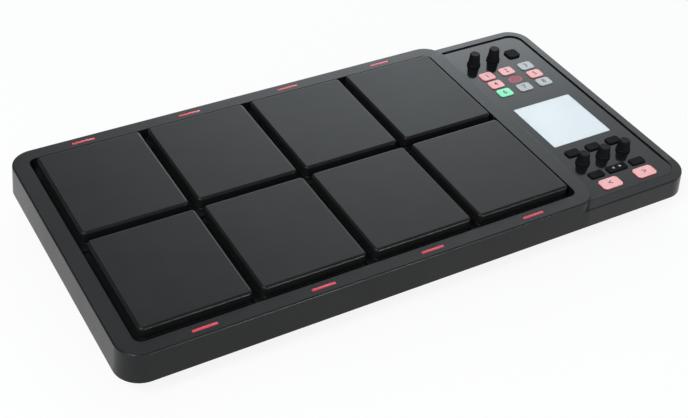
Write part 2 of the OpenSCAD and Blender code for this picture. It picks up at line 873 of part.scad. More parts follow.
// A control's shaft, with a flat that drives the knob
module control_shaft(k) {
    color(steel)
        difference() {
            translate([k[2], k[3], shaft_foot])
                cylinder(r = shaft_r, h = knob_under + k[4] - knob_roof_t - gap - shaft_foot);
            translate([k[2] - shaft_r - cut, k[3] + shaft_r - flat_depth, knob_under])
                cube([2 * (shaft_r + cut), shaft_r, k[4]]);
        }
}

// A knob with a skirt, a tapering fluted grip and a notch that shows where it points
module control_knob(k) {
    high = k[4];
    skirt_h = 1.7;
    skirt_edge = 0.5;
    top_round = 0.7;
    notch_w = 0.8;
    notch_depth = 0.4;
    flutes = 18;
    flute_r = 0.5;
    lean = atan((knob_grip_r - knob_top_r) / (high - skirt_h));
    color(black)
        translate([k[2], k[3], knob_under])
            difference() {
                rotate_extrude()
                    polygon([[0, 0], [knob_skirt_r, 0], [knob_skirt_r, skirt_h - skirt_edge],
                        [knob_skirt_r - skirt_edge, skirt_h], [knob_grip_r, skirt_h],
                        [knob_top_r, high - top_round], [knob_top_r - top_round, high], [0, high]]);
                for (i = [0 : flutes - 1])
                    rotate(i * 360 / flutes)
                        translate([knob_grip_r + flute_r / 2, 0, skirt_h])
                            rotate([0, -lean, 0])
                                cylinder(r = flute_r, h = high);
                translate([-notch_w / 2, knob_top_r / 2, high - notch_depth])
                    cube([notch_w, knob_top_r, cut]);
                difference() {
                    translate([0, 0, -cut])
                        cylinder(r = shaft_r + bush_gap, h = high - knob_roof_t + cut);
                    translate([-shaft_r - cut, shaft_r - flat_depth + bush_gap, -2 * cut])
                        cube([2 * (shaft_r + cut), shaft_r, high + 2 * cut]);
                }
            }
}

// A key: a cap with cut corners and a bevelled top, on a flange that the panel holds down
module key(k) {
    bevel = 0.4;
    color(k[7])
        translate([k[1], k[2], 0]) {
            translate([0, 0, flange_under])
                linear_extrude(flange_t)
                    key_outline(k[3], k[4], k[6], flange_w);
            translate([0, 0, flange_under])
                linear_extrude(panel_z + k[5] - bevel - flange_under)
                    key_outline(k[3], k[4], k[6], 0);
            hull() {
                translate([0, 0, panel_z + k[5] - 2 * bevel])
                    linear_extrude(bevel)
                        key_outline(k[3], k[4], k[6], 0);
                translate([0, 0, panel_z])
                    linear_extrude(k[5])
                        key_outline(k[3], k[4], k[6], -bevel);
            }
        }
}

module jack_sockets() {
    color(socket_black)
        for (i = [0 : jack_count - 1])
            difference() {
                union() {
                    translate([jack_x(i) - jack_w / 2, rear_front - gap - jack_l, main_board_top])
                        cube([jack_w, jack_l, jack_w]);
                    translate([jack_x(i), jack_face, socket_z])
                        rotate([90, 0, 0])
                            cylinder(r = jack_r, h = jack_face - rear_front + cut);
                }
                translate([jack_x(i), jack_face + cut, socket_z])
                    rotate([90, 0, 0])
                        cylinder(r = jack_bore_r, h = jack_face - rear_front + jack_l);
            }
}

module midi_sockets() {
    housing_w = 17;
    housing_d = 12;
    housing_low = main_board_top - socket_z;
    ring_wall = 0.6;
    core_r = 4.8;
    core_sink = 0.4;
    depth = 7;
    seat_depth = 2;
    color(socket_black)
        for (x = midi_x)
            translate([x, jack_face, socket_z])
                rotate([90, 0, 0]) {
                    difference() {
                        union() {
                            translate([-housing_w / 2, housing_low, jack_face - rear_front + gap])
                                cube([housing_w, -2 * housing_low, housing_d]);
                            cylinder(r = midi_r, h = jack_face - rear_front + cut);
                        }
                        translate([0, 0, -cut])
                            cylinder(r = midi_r - ring_wall, h = depth + cut);
                        cylinder(r = core_r + bush_gap, h = depth + seat_depth);
                    }
                    // the carrier of the contacts
                    translate([0, 0, core_sink])
                        cylinder(r = core_r, h = depth + seat_depth - core_sink - bush_gap);
                }
}

module usb_socket() {
    depth = 16;
    mouth = [8.4, 9, 7.8];
    tongue = [5.6, 8, 3.2];
    color(steel)
        translate([usb_x, port_face, main_board_top + usb_h / 2]) {
            difference() {
                translate([-usb_w / 2, -depth, -usb_h / 2])
                    cube([usb_w, depth, usb_h]);
                translate([-mouth.x / 2, -mouth.y, -mouth.z / 2])
                    cube(mouth + [0, cut, 0]);
            }
            translate([-tongue.x / 2, -mouth.y - cut, -tongue.z / 2])
                cube(tongue);
        }
}

module dc_inlet() {
    housing_d = 11;
    mouth_r = 3.15;
    depth = 9;
    pin_r = 1;
    pin_sink = 1;
    color(socket_black)
        translate([dc_x, 0, dc_z]) {
            difference() {
                union() {
                    translate([-dc_r, rear_front - gap - housing_d, -dc_r - dc_lift])
                        cube([2 * dc_r, housing_d, 2 * dc_r + dc_lift]);
                    translate([0, port_face, 0])
                        rotate([90, 0, 0])
                            cylinder(r = dc_r, h = port_face - rear_front + cut);
                }
                translate([0, port_face + cut, 0])
                    rotate([90, 0, 0])
                        cylinder(r = mouth_r, h = depth + cut);
            }
            translate([0, port_face - pin_sink, 0])
                rotate([90, 0, 0])
                    cylinder(r = pin_r, h = depth);
        }
}

module feet() {
    bevel = [0.9, 0.8];
    draft = 0.6;
    color([0.09, 0.09, 0.09])
        for (x = [-1, 1], y = [-1, 1])
            translate([x * foot_x, y * foot_y, 0])
                rotate_extrude()
                    polygon([[0, 0], [foot_r - draft - bevel.x, 0], [foot_r - draft, bevel.y],
                        [foot_r, foot_h], [0, foot_h]]);
}

// The screws of the case, the screws that hold the chassis up, and the spacers that it stands on
module screws() {
    case_head_z = case_seat_z - case_head_h;
    head_h = 1.5;
    color(steel) {
        for (p = case_screw_places)
            translate([p.x, p.y, case_head_z]) {
                cylinder(r = case_head_r, h = case_head_h);
                cylinder(r = case_screw_r, h = case_joint_z + case_grip - case_head_z);
            }
        for (p = chassis_screw_places)
            translate([p.x, p.y, chassis_under - head_h]) {
                cylinder(r = chassis_head_r, h = head_h);
                cylinder(r = chassis_screw_r, h = head_h + chassis_t + chassis_grip);
            }
        for (p = spacers)
            translate([p.x, p.y, case_joint_z])
                difference() {
                    union() {
                        cylinder(r = case_boss_r, h = chassis_under - case_joint_z);
                        cylinder(r = spacer_stud_r, h = chassis_floor - case_joint_z);
                    }
                    translate([0, 0, -cut])
                        cylinder(r = case_screw_r + bush_gap, h = cut + case_grip + tip_room);
                }
    }
}

module mount_inserts() {
    color([0.78, 0.62, 0.3])
        for (x = [-1, 1], y = [-1, 1])
            translate([x * mount_pitch_x / 2, y * mount_pitch_y / 2, foot_h])
                difference() {
                    cylinder(r = insert_r, h = insert_l);
                    translate([0, 0, -cut])
                        cylinder(r = mount_hole_r, h = insert_l + 2 * cut);
                }
}

upper_case();
control_deck();
lower_case();
control_panel();
rear_panel();
pad_chassis();
pad_plates();
pad_cushions();
trigger_sensors();
lamp_lenses();
lamp_boards();
lcd_window();
lcd_module();
panel_board();
main_board();
panel_ribbon();
key_switches();
rotary_controls();
jack_sockets();
midi_sockets();
usb_socket();
dc_inlet();
feet();
screws();
mount_inserts();
for (i = [0 : pad_count - 1])
    pad(i);
for (k = knobs) {
    control_knob(k);
    control_shaft(k);
}
for (k = keys)
    key(k);
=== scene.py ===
import json
from math import pi, radians

import bmesh
import bpy
from mathutils import Matrix, Vector


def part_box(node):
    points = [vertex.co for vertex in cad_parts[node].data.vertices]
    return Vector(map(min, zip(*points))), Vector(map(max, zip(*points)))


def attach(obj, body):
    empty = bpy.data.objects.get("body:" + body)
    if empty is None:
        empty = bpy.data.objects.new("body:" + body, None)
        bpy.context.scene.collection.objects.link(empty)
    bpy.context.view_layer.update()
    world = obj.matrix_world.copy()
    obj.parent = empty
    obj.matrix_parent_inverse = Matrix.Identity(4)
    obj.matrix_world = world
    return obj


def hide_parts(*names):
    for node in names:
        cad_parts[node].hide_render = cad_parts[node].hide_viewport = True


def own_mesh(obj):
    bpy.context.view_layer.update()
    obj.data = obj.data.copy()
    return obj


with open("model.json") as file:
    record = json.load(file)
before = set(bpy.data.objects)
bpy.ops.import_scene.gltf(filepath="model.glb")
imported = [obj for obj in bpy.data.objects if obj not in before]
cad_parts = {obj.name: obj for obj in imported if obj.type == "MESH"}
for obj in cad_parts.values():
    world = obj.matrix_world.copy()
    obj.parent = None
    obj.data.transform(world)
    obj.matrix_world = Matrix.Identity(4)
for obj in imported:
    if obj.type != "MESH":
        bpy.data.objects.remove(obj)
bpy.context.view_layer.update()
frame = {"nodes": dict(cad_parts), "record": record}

# Case: a pad frame, a control deck and a lower tray, injection-moulded in black ABS with a fine
# spark-eroded grain. Frame and deck are joined at the frame's right side and drop over the tray's lip,
# and six screws from below draw them together.
CASE_DARK = (0.0075, 0.0077, 0.0082, 1)
CASE_LIGHT = (0.0105, 0.0108, 0.0115, 1)
GLOSS_SPREAD = 0.04
PATTERN_DARK = 0.3
PATTERN_LIGHT = 0.7
CRISP_ANGLE = radians(32)
WELD_DISTANCE = 1e-6


def new_finish(name, colour, roughness, **sockets):
    """A material whose shader has these plain values."""
    finish = bpy.data.materials.new(name)
    finish.use_nodes = True
    surface = finish.node_tree.nodes["Principled BSDF"]
    surface.inputs["Base Color"].default_value = colour
    surface.inputs["Roughness"].default_value = roughness
    for socket, value in sockets.items():
        surface.inputs[socket.replace("_", " ")].default_value = value
    return finish


def pattern(finish, kind, scale, **sockets):
    """A texture on the piece's own coordinates, with about scale features to the metre."""
    tree = finish.node_tree
    place = tree.nodes.new("ShaderNodeTexCoord")
    texture = tree.nodes.new(f"ShaderNodeTex{kind}")
    texture.inputs["Scale"].default_value = scale
    for socket, value in sockets.items():
        texture.inputs[socket.replace("_", " ")].default_value = value
    tree.links.new(place.outputs["Object"], texture.inputs["Vector"])
    return texture.outputs["Distance" if kind == "Voronoi" else "Fac"]


def tint(finish, source, dark, light):
    """Blends the base colour as the pattern goes from dark to light."""
    tree = finish.node_tree
    ramp = tree.nodes.new("ShaderNodeValToRGB")
    levels = ((PATTERN_DARK, dark), (PATTERN_LIGHT, light))
    for stop, (level, colour) in zip(ramp.color_ramp.elements, levels):
        stop.position = level
        stop.color = colour
    tree.links.new(source, ramp.inputs["Fac"])
    tree.links.new(ramp.outputs["Color"], tree.nodes["Principled BSDF"].inputs["Base Color"])


def vary(finish, source, socket, low, high):
    """Takes one of the shader's numbers from low to high as the pattern goes from dark to light."""
    tree = finish.node_tree
    scaled = tree.nodes.new("ShaderNodeMapRange")
    scaled.inputs["From Min"].default_value = PATTERN_DARK
    scaled.inputs["From Max"].default_value = PATTERN_LIGHT
    scaled.inputs["To Min"].default_value = low
    scaled.inputs["To Max"].default_value = high
    tree.links.new(source, scaled.inputs["Value"])
    tree.links.new(scaled.outputs["Result"], tree.nodes["Principled BSDF"].inputs[socket])


def relief(finish, source, depth):
    """Raises the surface by up to that depth where the pattern is light, on top of any relief it has."""
    tree = finish.node_tree
    bump = tree.nodes.new("ShaderNodeBump")
    bump.inputs["Distance"].default_value = depth
    tree.links.new(source, bump.inputs["Height"])
    normal = tree.nodes["Principled BSDF"].inputs["Normal"]
    if normal.is_linked:
        tree.links.new(normal.links[0].from_socket, bump.inputs["Normal"])
    tree.links.new(bump.outputs["Normal"], normal)


def add_piece(name, mesh, finish, slot, body, *stands_for):
    """A finished piece that rides on the body and stands for the nodes named last."""
    mesh.name = name
    mesh.materials.clear()
    mesh.materials.append(finish)
    piece = bpy.data.objects.new(name, mesh)
    bpy.context.scene.collection.objects.link(piece)
    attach(piece, body)
    if stands_for:
        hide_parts(*stands_for)
    return piece


def shade_crisp(shape):
    """Shades round faces smooth and leaves the sharper edges crisp."""
    for face in shape.faces:
        face.smooth = True
    for edge in shape.edges:
        edge.smooth = edge.is_manifold and edge.calc_face_angle(0) < CRISP_ANGLE


def to_mesh(shape):
    """The finished shape as a mesh, without the normals of any node that it was copied from."""
    shade_crisp(shape)
    mesh = bpy.data.meshes.new("piece")
    shape.to_mesh(mesh)
    shape.free()
    for extra in [a.name for a in mesh.attributes if a.name in ("custom_normal", "UVMap")]:
        mesh.attributes.remove(mesh.attributes[extra])
    return mesh


def weigh_normals(piece):
    """Keeps flat faces flat beside the rounds that run into them."""
    weighing = piece.modifiers.new("even shading", "WEIGHTED_NORMAL")
    weighing.keep_sharp = True


def joined(node):
    """A copy of a node's solids with their triangles joined, so that round faces shade smooth."""
    shape = bmesh.new()
    shape.from_mesh(frame["nodes"][node].data)
    bmesh.ops.remove_doubles(shape, verts=shape.verts, dist=WELD_DISTANCE)
    return shape


def welded(node, name, finish, slot, body):
    """A node's solids as a finished piece."""
    weigh_normals(add_piece(name, to_mesh(joined(node)), finish, slot, body, node))


def moulded_black(name, roughness, grain_depth, gleam):
    """Black ABS with a spark-eroded grain and slightly uneven gloss."""
    finish = new_finish(name, CASE_LIGHT, roughness, Specular_IOR_Level=gleam)
    tint(finish, pattern(finish, "Noise", 24, Detail=5), CASE_DARK, CASE_LIGHT)
    vary(finish, pattern(finish, "Noise", 9, Detail=6), "Roughness",
         roughness - GLOSS_SPREAD, roughness + GLOSS_SPREAD)
    relief(finish, pattern(finish, "Noise", 2400, Detail=2), grain_depth)
    return finish


case_black = moulded_black("case_black", roughness=0.26, grain_depth=0.00002, gleam=0.24)
welded("upper_case", "frame_shell", case_black, "case_plastic", "case")
deck_black = moulded_black("deck_black", roughness=0.26, grain_depth=0.00002, gleam=0.32)
welded("control_deck", "deck_shell", deck_black, "case_plastic", "case")
welded("lower_case", "lower_tray", case_black, "case_plastic", "case")

# Feet: four moulded rubber buttons, pressed into the tray's floor.
# The rubber is dull, dusty where it meets the table.
foot_rubber = new_finish("foot_rubber", (0.016, 0.016, 0.016, 1), 0.8, Specular_IOR_Level=0.3)
tint(foot_rubber, pattern(foot_rubber, "Noise", 300, Detail=6),
     (0.012, 0.012, 0.012, 1), (0.03, 0.03, 0.03, 1))
relief(foot_rubber, pattern(foot_rubber, "Noise", 1800, Detail=3), depth=0.00008)
welded("feet", "rubber_feet", foot_rubber, "foot_rubber", "case")

# Fasteners: zinc-plated pan-head screws sunk in the tray, small screws and turned spacers that carry the
# pad chassis, and brass inserts, moulded into the tray, which take a stand clamp.
SCREW_HEAD_R = 0.0028
SCREW_HEAD_H = 0.002
SCREW_CORE_R = 0.0014
CROSS_ARM = 0.0016
CROSS_HALF_WIDTH = 0.0004
CROSS_DEPTH = 0.0011
SCREW_HEADS_BELOW = 0.0125


def zinc_plate(name):
    """Steel with a thin bright zinc coat, slightly cloudy."""
    finish = new_finish(name, (0.62, 0.63, 0.64, 1), 0.32, Metallic=1.0)
    tint(finish, pattern(finish, "Noise", 420, Detail=5), (0.5, 0.51, 0.53, 1), (0.68, 0.69, 0.69, 1))
    vary(finish, pattern(finish, "Noise", 900, Detail=3), "Roughness", 0.24, 0.42)
    return finish


def closed(shape):
    """The finished shape as a mesh whose faces all look outwards."""
    bmesh.ops.recalc_face_normals(shape, faces=shape.faces)
    return to_mesh(shape)


def corners_in(made):
    """The corners among what an operator made."""
    return [part for part in made if isinstance(part, bmesh.types.BMVert)]


def edges_in(made):
    """The edges among what an operator made."""
    return [part for part in made if isinstance(part, bmesh.types.BMEdge)]


def screw(shape, foot, length):
    """A pan-head screw that points up from its head, with a cross recess in the head's underside."""
    stops = (-SCREW_HEAD_R, -CROSS_ARM, -CROSS_HALF_WIDTH, CROSS_HALF_WIDTH, CROSS_ARM, SCREW_HEAD_R)
    cells = len(stops) - 1
    flat = bmesh.ops.create_grid(shape, x_segments=cells, y_segments=cells, size=cells / 2)["verts"]
    for corner in flat:
        x, y = (stops[round(place + cells / 2)] for place in corner.co.xy)
        corner.co = Vector((x, y, 0))
        if max(abs(x), abs(y)) > SCREW_HEAD_R - WELD_DISTANCE:
            corner.co = corner.co.normalized() * SCREW_HEAD_R
    disc = list(dict.fromkeys(face for corner in flat for face in corner.link_faces))
    rim = [edge for face in disc for edge in face.edges if edge.is_boundary]
    cross = []
    for face in disc:
        middle = face.calc_center_median()
        if min(abs(middle.x), abs(middle.y)) < CROSS_HALF_WIDTH and middle.length < CROSS_ARM:
            cross.append(face)
    sunk = bmesh.ops.extrude_face_region(shape, geom=cross)["geom"]
    bmesh.ops.translate(shape, vec=(0, 0, CROSS_DEPTH), verts=corners_in(sunk))
    bmesh.ops.delete(shape, geom=[face for face in cross if face.is_valid], context="FACES_ONLY")
    side = bmesh.ops.extrude_edge_only(shape, edges=rim)["geom"]
    bmesh.ops.translate(shape, vec=(0, 0, SCREW_HEAD_H), verts=corners_in(side))
    collar = bmesh.ops.extrude_edge_only(shape, edges=edges_in(side))["geom"]
    for corner in corners_in(collar):
        corner.co.xy = corner.co.xy.normalized() * SCREW_CORE_R
    shank = bmesh.ops.extrude_edge_only(shape, edges=edges_in(collar))["geom"]
    for corner in corners_in(shank):
        corner.co.z = length
    bmesh.ops.contextual_create(shape, geom=edges_in(shank))
    corners = dict.fromkeys(flat + corners_in(sunk + side + collar + shank))
    bmesh.ops.translate(shape, vec=foot, verts=[corner for corner in corners if corner.is_valid])


def solids(shape):
    """The corners of each separate solid in a shape."""
    met = set()
    found = []
    for start in shape.verts:
        if start in met:
            continue
        met.add(start)
        reached = [start]
        for corner in reached:
            for edge in corner.link_edges:
                other = edge.other_vert(corner)
                if other not in met:
                    met.add(other)
                    reached.append(other)
        found.append(reached)
    return found


def span(corners):
    """The lowest and highest coordinates of some corners."""
    return [Vector(end(c.co[i] for c in corners) for i in range(3)) for end in (min, max)]


zinc = zinc_plate("zinc")
small_screws = joined("screws")
case_screws = bmesh.new()
for solid in solids(small_screws):
    low, high = span(solid)
    if low.z < SCREW_HEADS_BELOW:
        screw(case_screws, ((low.x + high.x) / 2, (low.y + high.y) / 2, low.z), high.z - low.z)
        bmesh.ops.delete(small_screws, geom=solid, context="VERTS")
add_piece("cross_head_screws", closed(case_screws), zinc, "plate_steel", "case", "screws")
weigh_normals(add_piece("small_screws", to_mesh(small_screws), zinc, "plate_steel", "case", "screws"))
turned_brass = new_finish("turned_brass", (0.72, 0.52, 0.22, 1), 0.28, Metallic=1.0)
vary(turned_brass, pattern(turned_brass, "Noise", 1500, Detail=4), "Roughness", 0.2, 0.4)
tint(turned_brass, pattern(turned_brass, "Noise", 260, Detail=4),
     (0.6, 0.42, 0.17, 1), (0.78, 0.58, 0.27, 1))
welded("mount_inserts", "brass_inserts", turned_brass, "brass", "case")

# Boards: glass-fibre circuit boards with green solder mask over copper tracks, on standoffs in the tray
# and on posts under the panel, with a grey flat cable between them.
solder_mask = new_finish("solder_mask", (0.02, 0.13, 0.05, 1), 0.3, Coat_Weight=0.4)
tracks = pattern(solder_mask, "Brick", 180, Mortar_Size=0.1)
tint(solder_mask, tracks, (0.012, 0.1, 0.035, 1), (0.03, 0.19, 0.075, 1))
relief(solder_mask, tracks, depth=0.00004)
ribbon_grey = new_finish("ribbon_grey", (0.42, 0.43, 0.45, 1), 0.5)
tint(ribbon_grey, pattern(ribbon_grey, "Wave", 250), (0.34, 0.35, 0.37, 1), (0.46, 0.47, 0.49, 1))


def coat(finish, *names):
    """Puts a finish on nodes whose shape is right as it is."""
    for name in names:
        mesh = frame["nodes"][name].data
        mesh.materials.clear()
        mesh.materials.append(finish)


coat(solder_mask, "main_board", "panel_board", "lamp_boards")
coat(ribbon_grey, "panel_ribbon")

# Sockets: a black plate in the back wall with ten phone jacks, two round five-pole sockets, a data socket
# and a power inlet, all soldered to the main board. Nickel lines the jacks and the five-pole sockets.
JACK_RING_IN = 0.0034
JACK_RING_OUT = 0.0045
JACK_RING_T = 0.0004
RING_STEPS = 32
SHIELD_IN = 0.0058
SHIELD_OUT = 0.0062
SHIELD_DEPTH = 0.005
CARRIER_W = 0.012
POLE_TURNS = (0, 45, 90, 135, 180)
POLE_CIRCLE = 0.0034
POLE_IN = 0.00045
POLE_OUT = 0.0008
POLE_SUNK = 0.0005
POLE_PROUD = 0.0001


def socket_black(name):
    """Glass-filled nylon, dull black with short pale fibres."""
    finish = new_finish(name, (0.012, 0.012, 0.0125, 1), 0.5)
    tint(finish, pattern(finish, "Noise", 900, Detail=4), (0.009, 0.009, 0.0095, 1), (0.02, 0.02, 0.021, 1))
    relief(finish, pattern(finish, "Noise", 2600, Detail=2), depth=0.00003)
    return finish


def turned_ring(shape, centre, corners):
    """A ring round a line along Y through the centre, from its section's radii and heights."""
    section = [shape.verts.new(centre + Vector((radius, rise, 0))) for radius, rise in corners]
    edges = [shape.edges.new((a, b)) for a, b in zip(section, section[1:] + section[:1])]
    bmesh.ops.spin(shape, geom=section + edges, cent=centre, axis=(0, 1, 0), angle=2 * pi,
                   steps=RING_STEPS, use_merge=True)


nylon = socket_black("socket_nylon")
welded("rear_panel", "socket_plate", nylon, "panel_plastic", "case")
welded("jack_sockets", "phone_jacks", nylon, "socket_plastic", "case")
welded("midi_sockets", "din_sockets", nylon, "socket_plastic", "case")
welded("dc_inlet", "power_inlet", nylon, "socket_plastic", "case")
coat(zinc, "usb_socket")
rings = bmesh.new()
jack_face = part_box("jack_sockets")[1].y
for mount in frame["record"]["mounts"]:
    if mount["kind"] != "bore":
        continue
    x, _, z = mount["pos_m"]
    turned_ring(rings, Vector((x, jack_face, z)),
                [(JACK_RING_IN, 0), (JACK_RING_OUT, 0), (JACK_RING_OUT, JACK_RING_T / 2),
                 (JACK_RING_OUT - JACK_RING_T / 2, JACK_RING_T), (JACK_RING_IN, JACK_RING_T)])
nickel = new_finish("nickel", (0.66, 0.63, 0.58, 1), 0.2, Metallic=1.0)
vary(nickel, pattern(nickel, "Noise", 1200, Detail=4), "Roughness", 0.14, 0.3)
add_piece("jack_rings", closed(rings), nickel, "plate_steel", "case")
shields = bmesh.new()
poles = bmesh.new()
five_pole_solids = joined("midi_sockets")
for low, high in (span(solid) for solid in solids(five_pole_solids)):
    if high.x - low.x > CARRIER_W:
        continue
    middle = Vector(((low.x + high.x) / 2, high.y, (low.z + high.z) / 2))
    turned_ring(shields, middle,
                [(SHIELD_IN, -SHIELD_DEPTH), (SHIELD_OUT, -SHIELD_DEPTH), (SHIELD_OUT, 0), (SHIELD_IN, 0)])
    for turn in POLE_TURNS:
        towards = Matrix.Rotation(radians(turn), 3, "Y") @ Vector((POLE_CIRCLE, 0, 0))
        turned_ring(poles, middle + towards,
                    [(POLE_IN, -POLE_SUNK), (POLE_OUT, -POLE_SUNK),
                     (POLE_OUT, POLE_PROUD), (POLE_IN, POLE_PROUD)])
five_pole_solids.free()
add_piece("din_shields", closed(shields), nickel, "plate_steel", "case")
add_piece("din_contacts", closed(poles), nickel, "plate_steel", "case")

# Pad works: a ribbed chassis that hangs in the frame on small screws, and under each pad a zinc-plated
# steel plate, a piezo disc and a layer of black foam, which gives way when the pad is struck.
PAD_NUMBERS = range(1, 9)
FOAM_EDGE = 0.0006
FOAM_CORNER = 0.004


def slab(low, high, corner, edge, corner_steps, edge_steps):
    """A slab with round corners whose top edge is rolled over."""
    shape = bmesh.new()
    bmesh.ops.create_cube(shape, size=1)
    bmesh.ops.scale(shape, vec=high - low, verts=shape.verts)
    bmesh.ops.translate(shape, vec=(low + high) / 2, verts=shape.verts)
    upright = [e for e in shape.edges if abs(e.verts[0].co.z - e.verts[1].co.z) > WELD_DISTANCE]
    bmesh.ops.bevel(shape, geom=upright, offset=corner, offset_type="OFFSET", affect="EDGES",
                    segments=corner_steps, profile=0.5, material=-1)
    top = [e for e in shape.edges if all(v.co.z > high.z - WELD_DISTANCE for v in e.verts)]
    bmesh.ops.bevel(shape, geom=top, offset=edge, offset_type="OFFSET", affect="EDGES",
                    segments=edge_steps, profile=0.5, material=-1)
    return shape


chassis_black = moulded_black("chassis_black", roughness=0.55, grain_depth=0.00004, gleam=0.2)
welded("pad_chassis", "pad_tray", chassis_black, "case_plastic", "case")
coat(zinc, "pad_plates")
welded("trigger_sensors", "piezo_discs", turned_brass, "brass", "case")
foam_black = new_finish("foam_black", (0.03, 0.03, 0.031, 1), 0.95, Specular_IOR_Level=0.2)
tint(foam_black, pattern(foam_black, "Noise", 700, Detail=4),
     (0.02, 0.02, 0.021, 1), (0.045, 0.045, 0.046, 1))
relief(foam_black, pattern(foam_black, "Voronoi", 1400), depth=0.0002)
cushion_solids = joined("pad_cushions")
cushions = [span(solid) for solid in solids(cushion_solids)]
cushion_solids.free()
for number in PAD_NUMBERS:
    pad_low, pad_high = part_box(f"pad_{number}")
    middle = (pad_low + pad_high) / 2
    low, high = min(cushions, key=lambda ends: ((ends[0] + ends[1]) / 2 - middle).xy.length)
    cushion = slab(low, high, FOAM_CORNER, FOAM_EDGE, corner_steps=4, edge_steps=2)
    foam = add_piece(f"foam_{number}", closed(cushion), foam_black, "foam", "case", "pad_cushions")
    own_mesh(foam)

# Pads: thick moulded rubber caps, satin black, with a rolled top edge. Each lies on its foam and gives way
# by about a millimetre when a stick strikes it.
PAD_CORNER = 0.004
PAD_ROLL = 0.0024
pad_rubber = new_finish("pad_rubber", (0.01, 0.01, 0.0104, 1), 0.34, Specular_IOR_Level=0.17)
tint(pad_rubber, pattern(pad_rubber, "Noise", 40, Detail=6),
     (0.0085, 0.0085, 0.0089, 1), (0.0115, 0.0115, 0.0119, 1))
vary(pad_rubber, pattern(pad_rubber, "Noise", 7, Detail=6), "Roughness", 0.31, 0.37)
relief(pad_rubber, pattern(pad_rubber, "Noise", 1500, Detail=3), depth=0.00003)
for number in PAD_NUMBERS:
    body = f"pad_{number}"
    low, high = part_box(body)
    cap = slab(low, high, PAD_CORNER, PAD_ROLL, corner_steps=8, edge_steps=6)
    pad = add_piece(f"playing_pad_{number}", closed(cap), pad_rubber, "pad_rubber", body, body)
    weigh_normals(pad)

# Lamps: a clear red bar for each pad, pushed up through a slot in the frame until its flange stops it.
# The bar's top stands level with the frame.
LENS_EDGE = 0.0003
LENS_CORNER = 0.0007
LENS_FLANGE = Vector((0.0015, 0.0012, 0))
lens_red = new_finish("lens_red", (0.75, 0.045, 0.075, 1), 0.22, Subsurface_Weight=0.2)
tint(lens_red, pattern(lens_red, "Noise", 500, Detail=3), (0.69, 0.037, 0.064, 1), (0.8, 0.05, 0.085, 1))
relief(lens_red, pattern(lens_red, "Wave", 900), depth=0.00003)
lens_solids = joined("lamp_lenses")
lenses = sorted((span(solid) for solid in solids(lens_solids)), key=lambda ends: tuple(ends[0]))
lens_solids.free()
for number, (low, high) in enumerate(lenses, 1):
    bar = slab(low + LENS_FLANGE, high - LENS_FLANGE, LENS_CORNER, LENS_EDGE, corner_steps=4, edge_steps=3)
    add_piece(f"lamp_bar_{number}", closed(bar), lens_red, "lamp_red", "case", "lamp_lenses")

# Control panel: a smooth glossy black plate that lies on the deck's ledge, carried by posts on its board.
# It is glossy enough to mirror the knobs.
panel_gloss = new_finish("panel_gloss", (0.009, 0.0092, 0.0097, 1), 0.12, Specular_IOR_Level=0.3)
tint(panel_gloss, pattern(panel_gloss, "Noise", 30, Detail=4),
     (0.0075, 0.0077, 0.0082, 1), (0.0095, 0.0097, 0.0102, 1))
vary(panel_gloss, pattern(panel_gloss, "Noise", 16, Detail=6), "Roughness", 0.1, 0.15)
welded("control_panel", "panel_plate", panel_gloss, "panel_plastic", "case")

# Display: a pale liquid-crystal module with its polariser bonded under a clear acrylic window, which lies
# level with the panel. The window's edge is ground to a small bevel, which catches the light.
WINDOW_CORNER = 0.0014
WINDOW_BEVEL = 0.0003
WINDOW_SKIN = 0.0004
POLARISER_BEVEL = 0.00005
BOND_GAP = 0.00005
lcd_pale = new_finish("lcd_pale", (0.84, 0.89, 0.91, 1), 0.35)
tint(lcd_pale, pattern(lcd_pale, "Noise", 16, Detail=2), (0.81, 0.86, 0.88, 1), (0.87, 0.91, 0.93, 1))
coat(lcd_pale, "lcd_module")
window_clear = new_finish("window_clear", (0.9, 0.95, 1, 1), 0.05, Alpha=0.14, IOR=1.49)
vary(window_clear, pattern(window_clear, "Noise", 60, Detail=4), "Roughness", 0.03, 0.08)
low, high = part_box("lcd_window")
layer = high.z - WINDOW_SKIN
polariser = slab(low, Vector((high.x, high.y, layer - BOND_GAP)), WINDOW_CORNER, POLARISER_BEVEL,
                 corner_steps=4, edge_steps=1)
weigh_normals(add_piece("polariser", closed(polariser), lcd_pale, "display_white", "case", "lcd_window"))
window = slab(Vector((low.x, low.y, layer)), high, WINDOW_CORNER, WINDOW_BEVEL,
              corner_steps=4, edge_steps=2)
weigh_normals(add_piece("clear_window", closed(window), window_clear, "window_clear", "case", "lcd_window"))

# Keys: translucent silicone caps in pink, green and grey, and satin black caps, with cut corners. A flange
# under the panel holds each one down, over a switch on the panel's board.
KEY_FLANGE_W = 0.0012
KEY_FLANGE_T = 0.001
KEY_BEVEL = 0.0004
# How far below the key's top the painted shade on its sides is full
KEY_SIDE_SHADE_DROP = 0.0008
KEY_NIPS = {"mode": 0.0026, "function": 0.0022, "kit": 0.003, "power": 0.003}
PLAIN_NIP = 0.002
SILICONE_ROUGHNESS = 0.42
SILICONE_SPREAD = 0.05


def deepen(finish, colour, low, high):
    """Paints shade into the base colour. From the high level down to the low one, it darkens to the shade
    colour, standing in for the shade in the gap round a key.
    """
    tree = finish.node_tree
    place = tree.nodes.new("ShaderNodeTexCoord")
    split = tree.nodes.new("ShaderNodeSeparateXYZ")
    depth = tree.nodes.new("ShaderNodeMapRange")
    depth.inputs["From Min"].default_value = high
    depth.inputs["From Max"].default_value = low
    blend = tree.nodes.new("ShaderNodeMixRGB")
    blend.inputs["Color2"].default_value = colour
    base = tree.nodes["Principled BSDF"].inputs["Base Color"]
    tree.links.new(place.outputs["Object"], split.inputs["Vector"])
    tree.links.new(split.outputs["Z"], depth.inputs["Value"])
    tree.links.new(depth.outputs["Result"], blend.inputs["Fac"])
    tree.links.new(base.links[0].from_socket, blend.inputs["Color1"])
    tree.links.new(blend.outputs["Color"], base)


